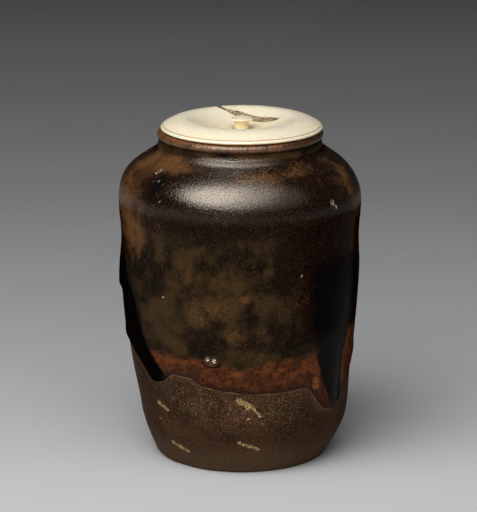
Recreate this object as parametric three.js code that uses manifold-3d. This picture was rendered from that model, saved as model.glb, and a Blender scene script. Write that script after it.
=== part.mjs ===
import * as THREE from 'three';
import { mergeVertices } from 'three/addons/utils/BufferGeometryUtils.js';
import Module from 'manifold-3d';

// Tea jar: a wheel-thrown stoneware jar with a high shoulder, a dark glaze that runs down
// to uneven drips over bare clay, and a turned ivory lid with a small knob and a gold lining.
// Millimetres, +Z up. The origin is the centre of the flat foot, and the front faces -Y.
// Azimuths are in degrees from the front, turning towards +X.

// Clay jar: its height to the lip, its radii, and the rises from one named level to the next
const jarHeight = 88.1;
const footRadius = 23.7;
const footRounding = 1.5;
const heelFlare = 4.15;
const heelHeight = 12;
const bellyRadius = 31.55;
const waistInset = 0.27;
const waistRise = 8;
const shoulderRadius = 31.85;
const shoulderRise = 10;
const shoulderCrown = 11.8;
const neckSweep = 3.13;
const neckRadius = 21.25;
const neckRise = 3.9;
const lipSwell = 0.4;
const lipRise = 2.4;
const lipWidth = 2.2;
const lipRounding = 0.85;
const wall = 3;
const floorThickness = 5;
const floorRadius = 19;
const neckDepth = 3.4;

// Handles of the clay's curves, as shares of each curve's step in radius and in height
const footShares = [[0.5, 0], [0.85, 0.4]];
const heelShares = [[0.41, 0.29], [0.9, 0.68]];
const bellyShares = [[0.36, 0.22], [0.99, 0.78]];
const waistShares = [[0, 0.4], [1, 0.6]];
const crownShares = [[0, 0.57], [0.5, 0.76]];
const neckShares = [[0.62, 0.38], [0.74, 0.23]];
const lipShares = [[0, 0.5], [1, 0.6]];
const throatShares = [[0, 0.5], [0.45, 0.72]];
const floorShares = [[0.1, 0.5], [0.55, 0.93]];

// The thrown jar isn't true: its heel swings to the right and its shoulder to the left
const heelSway = 1.1;
const heelSwaySpan = 12;
const shoulderSway = 0.35;
const shoulderSwaySpan = 4;
const shoulderSwayShare = 0.6;

// Glaze coat: an even skin, a rolled edge with a bead over it, and steps up the wall
const glazeThickness = 0.43;
const glazeGap = 0.12;
const glazeLine = 24.5;
const glazeInside = 3;
const edgeRoll = 1.1;
const edgeBead = 0.2;
const fadeShare = 0.4;
const rollShares = [0, 0.22, 0.6, 1.3];
const risingShares = [0.33, 0.66];
const backingShares = [0.33, 0.66];

// Where the glaze ends round the jar: azimuth, and the height as a share of the glaze line
const glazeEdgeShares = [
  [-110, 1.26],
  [-90, 1.32],
  [-74, 1.3],
  [-66, 1.215],
  [-59.5, 1.12],
  [-54, 1.03],
  [-48.5, 0.995],
  [-43.5, 1.037],
  [-38.5, 1.115],
  [-33, 1.13],
  [-26, 1.11],
  [-20, 1.045],
  [-10, 1.008],
  [5, 0.98],
  [20, 0.967],
  [33, 0.98],
  [37.5, 0.947],
  [42, 0.816],
  [47, 0.702],
  [53, 0.65],
  [58.5, 0.67],
  [63, 0.735],
  [67, 0.857],
  [74, 0.988],
  [85, 1.12],
  [105, 1.18],
  [125, 1.08],
  [142, 0.93],
  [158, 1.06],
  [180, 1.14],
  [205, 1.09],
  [230, 1.18],
];

// Runs of thicker glaze: azimuths and half widths in degrees at the top and at the foot, and
// the extra at both as shares of the run's depth. A run ends at the glaze edge, or above it
// by a share of the glaze line.
const runDepth = 1.1;
const runShares = [
  { top: 52, foot: 51, topHalf: 24, footHalf: 8, crown: 0.23, tip: 0.55, above: 0 },
  { top: -76, foot: -49, topHalf: 16, footHalf: 8, crown: 0.23, tip: 0.55, above: 0 },
  { top: -93, foot: -91, topHalf: 12, footHalf: 10, crown: 0.09, tip: 1, above: 0.5 },
  { top: 146, foot: 142, topHalf: 18, footHalf: 9, crown: 0.18, tip: 0.36, above: 0 },
];

// Lid
const lidInset = 0.66;
const seatGap = 0.1;
const bondGap = 0.05;
const liningThickness = 0.15;
const liningMargin = 0.4;
const spigotDepth = 2.3;
const spigotClearance = 0.55;
const spigotRounding = 0.35;
const webThickness = 2.05;
const dishFloorRadius = 3;
const crestRadius = 15;
const crestRise = 2.7;
const rimFall = 1.6;
const rimInset = 0.84;
const lineWidth = 0.3;
const lineDepth = 0.2;
const flangeRounding = 0.2;
const lidShiftShare = 0.7;
const dishShares = [[0.38, 0], [0.8, 1]];
const ringShares = [[0.57, 0], [0.85, 0.76]];
const edgeShares = [[0, 0.45], [0.55, 0.8]];
const lineShare = 0.72;

// Knob, turned from its own peg and set in a blind hole
const knobHeight = 2.8;
const knobRadius = 2.93;
const knobEdge = 0.4;
const knobWaist = 1.87;
const knobFootFlare = 0.25;
const knobFootHeight = 0.35;
const knobRingRadius = 2.4;
const knobRingDepth = 0.12;
const knobBossRadius = 1.3;
const knobBossHeight = 0.14;
const tenonRadius = 1.1;
const tenonShare = 0.65;
const shankShares = [[0, 0.6], [0.1, 0.95]];

// Nerve canal of the tusk: a crusty streak across the lid, in its own groove.
// Middle line and half width along the streak, from the back rim to its tip, as shares of the lid radius
const canalDepth = 0.7;
const canalSink = 0.06;
const canalFootShare = 0.12;
const canalShares = [
  [-0.3, 1.03, 0.018],
  [-0.296, 0.9, 0.02],
  [-0.288, 0.76, 0.022],
  [-0.272, 0.65, 0.026],
  [-0.229, 0.601, 0.024],
  [-0.181, 0.571, 0.027],
  [-0.14, 0.553, 0.034],
  [-0.096, 0.528, 0.05],
  [-0.037, 0.495, 0.053],
  [0.029, 0.463, 0.041],
  [0.086, 0.431, 0.034],
  [0.137, 0.386, 0.046],
  [0.197, 0.339, 0.06],
  [0.269, 0.298, 0.061],
  [0.337, 0.26, 0.057],
  [0.395, 0.226, 0.044],
  [0.457, 0.187, 0.009],
];

// Mesh steps
const jarSegments = 44;
const glazeColumns = 72;
const lidSegments = 48;
const knobSegments = 24;
const canalSteps = 26;
const halvings = 24;
const fullTurn = 360;

// Levels and radii that follow from the sizes above
const heelRadius = footRadius + heelFlare;
const waistRadius = bellyRadius - waistInset;
const sweepRadius = neckRadius + neckSweep;
const lipRadius = neckRadius + lipSwell;
const neckHeight = jarHeight - lipRise;
const sweepHeight = neckHeight - neckRise;
const shoulderHeight = sweepHeight - shoulderCrown;
const waistHeight = shoulderHeight - shoulderRise;
const bellyHeight = waistHeight - waistRise;
const swayHeight = lerp(shoulderHeight, sweepHeight, shoulderSwayShare);
const mouthRadius = lipRadius - lipWidth;
const glazeOffset = glazeGap + glazeThickness;
const lidRadius = lipRadius + glazeOffset - lidInset;
const lidHeight = jarHeight + glazeOffset + seatGap + liningThickness + bondGap;
const spigotRadius = mouthRadius - glazeOffset - spigotClearance - liningThickness - bondGap;
const spigotFace = lidHeight - spigotDepth;
const dishFloor = spigotFace + webThickness;
const crestHeight = lidHeight + crestRise;
const rimRadius = lidRadius - rimInset;
const rimHeight = crestHeight - rimFall;
const lidShift = lidShiftShare * spigotClearance;
const tenonLength = tenonShare * webThickness;

const radians = THREE.MathUtils.degToRad;
const wasm = await Module();
wasm.setup();

function point(radius, height) {
  return new THREE.Vector2(radius, height);
}

function lerp(from, to, share) {
  return from + (to - from) * share;
}

function smooth(share) {
  const held = THREE.MathUtils.clamp(share, 0, 1);
  return held * held * (3 - 2 * held);
}

function bump(distance) {
  return Math.exp(-distance * distance);
}

// A cubic curve whose handles are set as shares of the step from one end to the other
function sweep(from, to, shares) {
  const [first, second] = shares.map(([across, up]) => {
    return point(lerp(from.x, to.x, across), lerp(from.y, to.y, up));
  });
  return new THREE.CubicBezierCurve(from, first, second, to);
}

// Sampled points and outward normals of a run of curves, with shared ends kept once
function sample(curves, counts) {
  const stations = [];
  curves.forEach((curve, index) => {
    const steps = counts[index];
    for (let step = index === 0 ? 0 : 1; step <= steps; step++) {
      const tangent = curve.getTangent(step / steps);
      stations.push({ at: curve.getPoint(step / steps), out: point(tangent.y, -tangent.x) });
    }
  });
  return stations;
}

function offset(station, distance) {
  return station.at.clone().addScaledVector(station.out, distance);
}

// Outside of the clay, from the rounded edge of the foot to the inside of the neck
const foot = point(footRadius - footRounding, 0);
const footTop = point(footRadius, footRounding);
const heel = point(heelRadius, heelHeight);
const belly = point(bellyRadius, bellyHeight);
const waist = point(waistRadius, waistHeight);
const shoulder = point(shoulderRadius, shoulderHeight);
const sweepEnd = point(sweepRadius, sweepHeight);
const neck = point(neckRadius, neckHeight);
const lipSide = point(lipRadius, jarHeight - lipRounding);
const lipMiddle = (mouthRadius + lipRadius) / 2;
const mouthEdge = point(mouthRadius, jarHeight - lipRounding);
const mouthEnd = point(mouthRadius, mouthEdge.y - neckDepth);
const wallCurves = [
  sweep(foot, footTop, footShares),
  sweep(footTop, heel, heelShares),
  sweep(heel, belly, bellyShares),
  sweep(belly, waist, waistShares),
  sweep(waist, shoulder, waistShares),
];
const crownCurves = [
  sweep(shoulder, sweepEnd, crownShares),
  sweep(sweepEnd, neck, neckShares),
  sweep(neck, lipSide, lipShares),
  new THREE.EllipseCurve(lipMiddle, lipSide.y, lipWidth / 2, lipRounding, 0, Math.PI),
  new THREE.LineCurve(mouthEdge, mouthEnd),
];
const wallStations = sample(wallCurves, [2, 3, 5, 2, 2]);
const crownStations = sample(crownCurves, [4, 3, 2, 4, 1]);

// The glaze lies on the wall from these levels of it upwards all round the jar
const coveredLevels = 6;
const coveredStations = wallStations.slice(-coveredLevels);

// The jar's slightly swung axis at a height
function sway(height) {
  const right = heelSway * bump((height - heelHeight) / heelSwaySpan);
  const left = shoulderSway * bump((height - swayHeight) / shoulderSwaySpan);
  return right - left;
}

function turned(outline, segments) {
  const geometry = new THREE.LatheGeometry(outline, segments);
  geometry.rotateX(Math.PI / 2);
  return geometry;
}

function swung(geometry) {
  const places = geometry.attributes.position;
  for (let index = 0; index < places.count; index++) {
    places.setX(index, places.getX(index) + sway(places.getZ(index)));
  }
  return geometry;
}

// Inside of the clay: the neck, a hollow under the shoulder, the wall and a dished floor
function insideOutline() {
  const bodyStations = sample([...wallCurves.slice(2), crownCurves[0]], [2, 1, 2, 3]);
  const hollow = bodyStations.map((station) => offset(station, -wall));
  const under = hollow.at(-1);
  const throat = sweep(mouthEnd, under, throatShares).getPoints(2).slice(1, -1);
  const floor = point(floorRadius, floorThickness);
  const corner = sweep(hollow[0], floor, floorShares).getPoints(2).slice(1);
  return [...throat, ...hollow.reverse(), ...corner, point(0, floorThickness)];
}

function jarBody() {
  const outside = [...wallStations, ...crownStations.slice(1)].map((station) => station.at);
  return swung(turned([point(0, 0), ...outside, ...insideOutline()], jarSegments));
}

// Height of the glaze edge at an azimuth: a smooth closed curve through the listed shares
function edgeHeight(azimuth) {
  const table = glazeEdgeShares;
  const wrapped = azimuth - fullTurn * Math.floor((azimuth - table[0][0]) / fullTurn);
  const before = table.findLastIndex((entry) => entry[0] <= wrapped);
  const entry = (index) => {
    const lap = Math.floor(index / table.length);
    const [at, share] = table[index - lap * table.length];
    return [at + lap * fullTurn, share];
  };
  const slope = (index) => {
    const [lowAt, lowShare] = entry(index - 1);
    const [highAt, highShare] = entry(index + 1);
    return (highShare - lowShare) / (highAt - lowAt);
  };
  const [fromAt, fromShare] = entry(before);
  const [toAt, toShare] = entry(before + 1);
  const span = toAt - fromAt;
  const share = (wrapped - fromAt) / span;
  const fromSlope = slope(before) * span;
  const toSlope = slope(before + 1) * span;
  const rest = 1 - share;
  const ends = fromShare * (1 + 2 * share) * rest * rest + toShare * (1 + 2 * rest) * share * share;
  const slopes = fromSlope * share * rest * rest - toSlope * rest * share * share;
  return glazeLine * (ends + slopes);
}

// Extra thickness that the runs give at an azimuth and height
function runThickness(azimuth, height) {
  let extra = 0;
  for (const run of runShares) {
    const end = edgeHeight(run.foot) + run.above * glazeLine;
    const down = (shoulderHeight - height) / (shoulderHeight - end);
    const middle = lerp(run.top, run.foot, smooth(down));
    const half = lerp(run.topHalf, run.footHalf, smooth(down));
    const turn = THREE.MathUtils.euclideanModulo(azimuth - middle + fullTurn / 2, fullTurn) - fullTurn / 2;
    const across = Math.max(0, 1 - (turn / half) ** 2) ** 1.5;
    const fadeIn = smooth((down + fadeShare / 2) / fadeShare);
    const along = runDepth * lerp(run.crown, run.tip, smooth(down) ** 3) * fadeIn;
    const stop = run.above > 0 ? smooth((height - end) / (2 * edgeRoll)) : 1;
    extra += across * along * stop;
  }
  return extra;
}

// Places on the wall by their share of its length
const wallPath = new THREE.CurvePath();
wallCurves.forEach((curve) => wallPath.add(curve));
const wallLength = wallPath.getLength();

function wallShareAt(height) {
  let low = 0;
  let high = 1;
  for (let halving = 0; halving < halvings; halving++) {
    const middle = (low + high) / 2;
    if (wallPath.getPointAt(middle).y < height) {
      low = middle;
    } else {
      high = middle;
    }
  }
  return low;
}

function wallStation(share) {
  const tangent = wallPath.getTangentAt(share);
  return { at: wallPath.getPointAt(share), out: point(tangent.y, -tangent.x) };
}

// One closed loop of the glaze at an azimuth: out from the edge, up, over the lip and into
// the neck, and back down against the clay. Both ends run out to nothing.
function glazeLoop(azimuth) {
  const edge = wallShareAt(edgeHeight(azimuth));
  const covered = wallShareAt(coveredStations[0].at.y);
  const rolls = rollShares.map((share) => edge + (share * edgeRoll) / wallLength);
  const rising = risingShares.map((share) => lerp(rolls.at(-1), covered, share));
  const low = [...rolls, ...rising].map(wallStation);
  const backing = backingShares.map((share) => wallStation(lerp(edge, covered, share)));
  const mouth = crownStations.at(-1);
  const inside = { at: point(mouthRadius, mouthEdge.y - glazeInside), out: mouth.out };
  const high = [...coveredStations, ...crownStations.slice(1, -1)];
  const face = [...low, ...high].map((station) => {
    const distance = Math.max(0, (wallShareAt(station.at.y) - edge) * wallLength);
    const rolled = Math.sqrt(1 - (1 - Math.min(distance / edgeRoll, 1)) ** 2);
    const bead = edgeBead * bump((distance - edgeRoll) / edgeRoll);
    const full = glazeThickness + bead + runThickness(azimuth, station.at.y);
    return offset(station, glazeGap + full * rolled);
  });
  const back = [...backing, ...high].map((station) => offset(station, glazeGap));
  return [...face, offset(inside, glazeGap), ...back.reverse()];
}

function glazeCoat() {
  const places = [];
  for (let column = 0; column < glazeColumns; column++) {
    const azimuth = (fullTurn * column) / glazeColumns;
    const turn = radians(azimuth);
    for (const spot of glazeLoop(azimuth)) {
      places.push(spot.x * Math.sin(turn) + sway(spot.y), -spot.x * Math.cos(turn), spot.y);
    }
  }
  const rows = places.length / 3 / glazeColumns;
  const faces = [];
  for (let column = 0; column < glazeColumns; column++) {
    const next = (column + 1) % glazeColumns;
    for (let row = 0; row < rows; row++) {
      const above = (row + 1) % rows;
      const [a, b] = [column * rows + row, next * rows + row];
      const [c, d] = [next * rows + above, column * rows + above];
      faces.push(a, b, c, a, c, d);
    }
  }
  const geometry = new THREE.BufferGeometry();
  geometry.setAttribute('position', new THREE.Float32BufferAttribute(places, 3));
  geometry.setIndex(faces);
  geometry.computeVertexNormals();
  return geometry;
}

// Solids for cutting: a mesh with its shared points merged and no flat triangles
function solidOf(geometry) {
  const bare = geometry.index ? geometry.toNonIndexed() : geometry.clone();
  bare.deleteAttribute('normal');
  bare.deleteAttribute('uv');
  const merged = mergeVertices(bare);
  const corners = merged.index.array;
  const kept = [];
  for (let face = 0; face < corners.length; face += 3) {
    const [a, b, c] = corners.slice(face, face + 3);
    if (a !== b && b !== c && c !== a) {
      kept.push(a, b, c);
    }
  }
  const vertProperties = new Float32Array(merged.attributes.position.array);
  const mesh = new wasm.Mesh({ numProp: 3, vertProperties, triVerts: new Uint32Array(kept) });
  return new wasm.Manifold(mesh);
}

function geometryOf(solid) {
  const mesh = solid.getMesh();
  const geometry = new THREE.BufferGeometry();
  geometry.setAttribute('position', new THREE.BufferAttribute(mesh.vertProperties, 3));
  geometry.setIndex(new THREE.BufferAttribute(mesh.triVerts, 1));
  geometry.computeVertexNormals();
  return geometry;
}

// Top of the lid from the hole for the knob over the dish and the crest to the rim
const holeEdge = point(tenonRadius + bondGap, dishFloor);
const dish = point(dishFloorRadius, dishFloor);
const crest = point(crestRadius, crestHeight);
const rim = point(rimRadius, rimHeight);
const lidTopCurves = [
  new THREE.LineCurve(holeEdge, dish),
  sweep(dish, crest, dishShares),
  sweep(crest, rim, ringShares),
];
const lidTopStations = sample(lidTopCurves, [1, 5, 3]);

// The rounded edge of the lid, from its flange up to the rim, with the fine line turned in it
function lidEdge() {
  const curve = sweep(point(lidRadius, lidHeight + flangeRounding), rim, edgeShares);
  const half = lineWidth / 2 / curve.getLength();
  const shares = [0, lineShare / 2, lineShare - half, lineShare, lineShare + half];
  return shares.map((share) => {
    const tangent = curve.getTangentAt(share);
    const station = { at: curve.getPointAt(share), out: point(tangent.y, -tangent.x) };
    return offset(station, share === lineShare ? -lineDepth : 0);
  });
}

function lidDiscOutline() {
  const holeFloor = dishFloor - tenonLength - bondGap;
  return [
    point(0, spigotFace),
    point(spigotRadius - spigotRounding, spigotFace),
    point(spigotRadius, spigotFace + spigotRounding),
    point(spigotRadius, lidHeight),
    point(lidRadius - flangeRounding, lidHeight),
    ...lidEdge(),
    ...lidTopStations.map((station) => station.at).reverse(),
    point(holeEdge.x, holeFloor),
    point(0, holeFloor),
  ];
}

// The lid's top side sunk by a depth and drawn in at the rim, as a plain solid
function sunkLid(depth) {
  const drawn = (lidRadius - depth) / lidRadius;
  const top = lidTopStations.slice(1).map(({ at }) => point(at.x * drawn, at.y - depth));
  const outline = [
    point(0, spigotFace),
    point(lidRadius * drawn, spigotFace),
    point(lidRadius * drawn, lidHeight + flangeRounding - depth),
    ...top.reverse(),
    point(0, dishFloor - depth),
  ];
  return solidOf(turned(outline, lidSegments));
}

// A straight-sided bar over the streak, drawn in from its edges by an inset
function canalBar(inset) {
  const middle = canalShares.map(([across, back]) => point(across * lidRadius, back * lidRadius));
  const curve = new THREE.SplineCurve(middle);
  const endShare = inset / curve.getLength();
  const left = [];
  const right = [];
  for (let step = 0; step <= canalSteps; step++) {
    const share = lerp(endShare, 1 - endShare, step / canalSteps);
    const place = share * (canalShares.length - 1);
    const before = Math.floor(place);
    const after = Math.min(before + 1, canalShares.length - 1);
    const half = lerp(canalShares[before][2], canalShares[after][2], place - before) * lidRadius - inset;
    const at = curve.getPoint(share);
    const along = curve.getTangent(share);
    left.push(point(at.x - along.y * half, at.y + along.x * half));
    right.push(point(at.x + along.y * half, at.y - along.x * half));
  }
  const outline = new THREE.Shape([...left, ...right.reverse()]);
  const base = lerp(lidHeight, rimHeight, canalFootShare) + inset;
  const bar = new THREE.ExtrudeGeometry(outline, { depth: crestHeight, bevelEnabled: false });
  bar.translate(0, 0, base);
  return solidOf(bar);
}

function lidDisc() {
  const disc = solidOf(turned(lidDiscOutline(), lidSegments));
  const groove = canalBar(0).subtract(sunkLid(canalDepth));
  return geometryOf(disc.subtract(groove));
}

function canalCore() {
  const layer = sunkLid(canalSink).subtract(sunkLid(canalDepth - bondGap));
  return geometryOf(canalBar(bondGap).intersect(layer));
}

// Knob standing on the dish floor, with a turned ring and a small boss on top
function lidKnob() {
  const seat = dishFloor + bondGap;
  const top = seat + knobHeight;
  const shankFoot = point(knobWaist, seat + knobFootHeight);
  const shankTop = point(knobRadius, top - knobEdge);
  const shank = sweep(shankFoot, shankTop, shankShares);
  const outline = [
    point(0, dishFloor - tenonLength),
    point(tenonRadius, dishFloor - tenonLength),
    point(tenonRadius, seat),
    point(knobWaist + knobFootFlare, seat),
    ...shank.getPoints(4),
    point(knobRadius, top - knobEdge / 3),
    point(knobRadius - knobEdge / 3, top),
    point(knobRingRadius + knobRingDepth, top),
    point(knobRingRadius, top - knobRingDepth),
    point(knobRingRadius - knobRingDepth, top),
    point(knobBossRadius, top),
    point(knobBossRadius / 2, top + knobBossHeight),
    point(0, top + knobBossHeight),
  ];
  return turned(outline, knobSegments);
}

// Gold-leafed paper that wraps the spigot and the underside of the flange
function goldLining() {
  const inner = [spigotRadius + bondGap, spigotFace - bondGap, lidHeight - bondGap];
  const outer = [inner[0] + liningThickness, inner[1] - liningThickness, inner[2] - liningThickness];
  const edge = lidRadius - liningMargin;
  const outline = [
    point(0, outer[1]),
    point(outer[0] - spigotRounding, outer[1]),
    point(outer[0], outer[1] + spigotRounding),
    point(outer[0], outer[2]),
    point(edge, outer[2]),
    point(edge, inner[2]),
    point(inner[0], inner[2]),
    point(inner[0], inner[1] + spigotRounding),
    point(inner[0] - spigotRounding, inner[1]),
    point(0, inner[1]),
  ];
  return turned(outline, lidSegments);
}

function piece(name, geometry, color, roughness, metalness) {
  const material = new THREE.MeshStandardMaterial({ color, roughness, metalness });
  const mesh = new THREE.Mesh(geometry, material);
  mesh.name = name;
  return mesh;
}

const jar = new THREE.Group();
jar.add(piece('jar_body', jarBody(), 0x5b4638, 0.85, 0));
jar.add(piece('glaze_coat', glazeCoat(), 0x2a1712, 0.2, 0));

const lid = new THREE.Group();
lid.add(piece('lid_disc', lidDisc(), 0xf3e6cb, 0.35, 0));
lid.add(piece('lid_knob', lidKnob(), 0xefdcb4, 0.35, 0));
lid.add(piece('lid_canal_core', canalCore(), 0x8a6a45, 0.8, 0));
lid.add(piece('lid_gold_lining', goldLining(), 0xc9a04a, 0.4, 1));
lid.position.x = lidShift;

const group = new THREE.Group();
group.add(jar, lid);

export default group;
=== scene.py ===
import itertools
import math

import bpy
import numpy as np
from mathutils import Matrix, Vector


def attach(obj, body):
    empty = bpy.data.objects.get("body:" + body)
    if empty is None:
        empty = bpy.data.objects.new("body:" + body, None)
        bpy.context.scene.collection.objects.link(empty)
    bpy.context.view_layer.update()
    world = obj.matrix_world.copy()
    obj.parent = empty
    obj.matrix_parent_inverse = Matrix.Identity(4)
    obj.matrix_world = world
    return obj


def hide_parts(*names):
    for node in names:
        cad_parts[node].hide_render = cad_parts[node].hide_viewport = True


# Tea jar: trimmed clay, a running iron glaze, and a turned ivory lid with its knob, canal crust
# and gold lining. Shapes are worked out in millimetres and written in metres.

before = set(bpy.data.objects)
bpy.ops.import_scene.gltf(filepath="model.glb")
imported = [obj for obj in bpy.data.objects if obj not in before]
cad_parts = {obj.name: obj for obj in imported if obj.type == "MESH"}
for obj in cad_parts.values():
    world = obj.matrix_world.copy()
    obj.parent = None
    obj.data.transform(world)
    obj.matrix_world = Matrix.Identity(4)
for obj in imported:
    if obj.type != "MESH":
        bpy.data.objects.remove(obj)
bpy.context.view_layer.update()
scene = bpy.context.scene

MM = 0.001
TURN = 2 * math.pi


# Numbers

def lerp(a, b, t):
    return a + (b - a) * t


def smooth(t):
    t = np.clip(t, 0, 1)
    return t * t * (3 - 2 * t)


def bump(x):
    return np.exp(-np.square(x))


def window(x, low, rise, high, fall):
    """1 between low and high, with soft steps of these widths just inside them."""
    return smooth((x - low) / rise) * smooth((high - x) / fall)


def hashed(cells, seed):
    words = cells.astype(np.int64)
    mixed = words[..., 0] * 374761393 + words[..., 1] * 668265263 + words[..., 2] * 362437
    mixed = (mixed + seed * 1274126177) & 0xFFFFFFFF
    mixed = ((mixed ^ (mixed >> 13)) * 1274126177) & 0xFFFFFFFF
    return ((mixed ^ (mixed >> 16)) & 0xFFFF) / 32767.5 - 1


def rough(points, size, seed):
    """Smooth noise from -1 to 1 with lumps of about that size in mm."""
    place = points / size + 100
    low = np.floor(place)
    part = place - low
    part = part * part * (3 - 2 * part)
    total = 0
    for corner in itertools.product((0, 1), repeat=3):
        weight = np.prod(np.where(np.array(corner) == 1, part, 1 - part), axis=-1)
        total = total + weight * hashed(low + corner, seed)
    return total


def layered(points, size, seed, layers=3):
    return sum(rough(points, size / 2**n, seed + n) / 2**n for n in range(layers))


# Profiles: rows of radius, height, and outward normal

def bezier(start, end, shares, t):
    """A curve whose two inner handles lie at shares of the way across and up."""
    start, end = np.array([start, end], float)
    first, second = (lerp(start, end, np.array(share)) for share in shares)
    t = spaced(t)[:, None]
    r = 1 - t
    at = start * r**3 + first * 3 * t * r**2 + second * 3 * t * t * r + end * t**3
    along = (first - start) * r**2 + (second - first) * 2 * t * r + (end - second) * t * t
    return rows(at, along)


def rows(at, along):
    out = np.stack([along[:, 1], -along[:, 0]], axis=1)
    out /= np.linalg.norm(out, axis=1)[:, None]
    return np.hstack([at, out])


def straight(start, end, t):
    start, end = np.array([start, end], float)
    at = lerp(start, end, spaced(t)[:, None])
    return rows(at, np.broadcast_to(end - start, at.shape))


def arc(centre, across, up, start, end, t):
    turn = np.radians(lerp(start, end, spaced(t)))
    at = np.stack([centre[0] + across * np.cos(turn), centre[1] + up * np.sin(turn)], axis=1)
    along = np.stack([-across * np.sin(turn), up * np.cos(turn)], axis=1)
    return rows(at, along * (1 if end > start else -1))


def rounded(radius, height, size, count):
    """The rounded lower outer corner of a turned shape."""
    return arc((radius - size, height + size), size, size, -90, 0, count)


def steps(count, first=False):
    t = np.linspace(0, 1, count + 1)
    return t if first else t[1:]


def spaced(t):
    """Shares of the way along a curve, as given, or even steps where t is a count."""
    return steps(t) if isinstance(t, int) else t


# The jar's sizes, as in the solids
FOOT = (22.2, 0)
FOOT_TOP = (23.7, 1.5)
HEEL = (27.85, 12)
BELLY = (31.55, 52)
WAIST = (31.28, 60)
SHOULDER = (31.85, 70)
SWEEP = (25.2, 81.08)
FILLET = (23.01, 82.56)
NECK = (20.55, 86.2)
LIP_SIDE = (21.65, 87.25)
LIP_MIDDLE = (20.55, 87.25)
MOUTH = (19.45, 87.25)
MOUTH_END = (19.45, 83.85)
GLAZE_END = (19.45, 84.25)
LIP_ROLL = (1.1, 0.85)
WALL = 3
FLOOR = (19, 5)
WALL_CURVES = [
    (FOOT, FOOT_TOP, ((0.5, 0), (0.85, 0.4))),
    (FOOT_TOP, HEEL, ((0.41, 0.29), (0.9, 0.68))),
    (HEEL, BELLY, ((0.36, 0.22), (0.99, 0.78))),
    (BELLY, WAIST, ((0, 0.4), (1, 0.6))),
    (WAIST, SHOULDER, ((0, 0.4), (1, 0.6))),
    (SHOULDER, SWEEP, ((0, 0.6), (0.55, 0.818))),
    (SWEEP, FILLET, ((0.33, 0.33), (0.67, 0.67))),
    (FILLET, NECK, ((0.42, 0.19), (0.47, 0.27))),
    (NECK, LIP_SIDE, ((0, 0.5), (1, 0.6))),
]
GLAZE_GAP = 0.12
GLAZE = 0.43
EDGE_ROLL = 1.1
EDGE_BEAD = 0.2
GLAZE_LINE = 24.5
EDGE = np.array([
    (-110, 1.26), (-90, 1.32), (-74, 1.3), (-66, 1.215), (-59.5, 1.12), (-54, 1.03),
    (-48.5, 0.995), (-43.5, 1.037), (-38.5, 1.115), (-33, 1.13), (-26, 1.11), (-20, 1.045),
    (-10, 1.008), (5, 0.98), (20, 0.967), (33, 0.98), (37.5, 0.947), (42, 0.816), (47, 0.702),
    (53, 0.65), (58.5, 0.67), (63, 0.735), (67, 0.857), (74, 0.988), (85, 1.12), (105, 1.18),
    (125, 1.08), (142, 0.93), (158, 1.06), (180, 1.14), (205, 1.09), (230, 1.18),
])
RUNS = [
    # azimuth and half width at the top and at the foot, extra depth at both, stop above the edge
    (52, 51, 24, 8, 0.25, 0.6, 0),
    (-76, -49, 16, 8, 0.25, 0.6, 0),
    (-93, -91, 12, 10, 0.1, 0.84, 12.3),
    (146, 142, 18, 9, 0.2, 0.4, 0),
]

# Dark glaze of the runs: heights, azimuths of its left and right side, and how soft these are
DARKS = [
    ((25, 27.7, 30.3, 34, 37.4, 46.7, 55, 66), (-60, -72.5, -81, -96, -110, -117, -112, -99),
     (-40, -42, -46, -50.5, -53.5, -58, -70, -88), (2.2, 2.6, 3.5, 5, 8, 12, 16, 18)),
    ((16, 19, 24, 30, 37, 44, 52, 66), (53, 50, 46, 42, 39, 37, 36, 36),
     (59.5, 60.5, 61.5, 62.5, 66, 70, 74, 78), (2.5, 3.2, 4, 5.5, 8, 11, 14, 16)),
    ((22, 26, 40, 66), (134, 133, 131, 130), (150, 151, 158, 164), (3, 5, 8, 12)),
]


def sway(z):
    return 1.1 * bump((z - 12) / 12) - 0.35 * bump((z - 77.08) / 4)


def edge_height(azimuth):
    """Height of the glaze's edge at azimuths in degrees: a smooth curve through EDGE."""
    at = np.concatenate([EDGE[-1:, 0] - 360, EDGE[:, 0], EDGE[:2, 0] + 360])
    share = np.concatenate([EDGE[-1:, 1], EDGE[:, 1], EDGE[:2, 1]])
    slope = (share[2:] - share[:-2]) / (at[2:] - at[:-2])
    wrapped = azimuth - 360 * np.floor((azimuth - EDGE[0, 0]) / 360)
    before = np.searchsorted(at, wrapped, side="right") - 1
    after = before + 1
    span = at[after] - at[before]
    t = (wrapped - at[before]) / span
    r = 1 - t
    ends = share[before] * (1 + 2 * t) * r * r + share[after] * (1 + 2 * r) * t * t
    slopes = slope[before - 1] * span * t * r * r - slope[before] * span * r * t * t
    return GLAZE_LINE * (ends + slopes)


def radius_of(points):
    return np.hypot(points[..., 0], points[..., 1])


def turn_between(azimuth, middle):
    return (azimuth - middle + 180) % 360 - 180


def run_parts(azimuth, z):
    """Extra thickness from the runs, and how much of a run's dark glaze is there."""
    extra = np.zeros_like(z)
    for top, foot, top_half, foot_half, crown, tip, drop in RUNS:
        end = edge_height(foot) + drop
        down = (70 - z) / (70 - end)
        eased = smooth(down)
        middle = lerp(top, foot, eased)
        half = lerp(top_half, foot_half, eased)
        across = np.clip(1 - (turn_between(azimuth, middle) / half) ** 2, 0, None)
        fade_in = smooth((down + 0.2) / 0.4)
        stop = smooth((z - end) / (2 * EDGE_ROLL)) if drop else 1
        extra += across**1.5 * lerp(crown, tip, eased**3) * fade_in * stop
    shade = np.zeros_like(z)
    turned = turn_between(azimuth, 0)
    for levels, left, right, soft in DARKS:
        ease = np.interp(z, levels, soft)
        from_left = smooth((turned - np.interp(z, levels, left)) / ease + 0.5)
        to_right = smooth((np.interp(z, levels, right) - turned) / ease + 0.5)
        shade = np.maximum(shade, from_left * to_right * smooth((levels[-1] - z) / 14))
    return extra, shade


# Meshes

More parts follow.
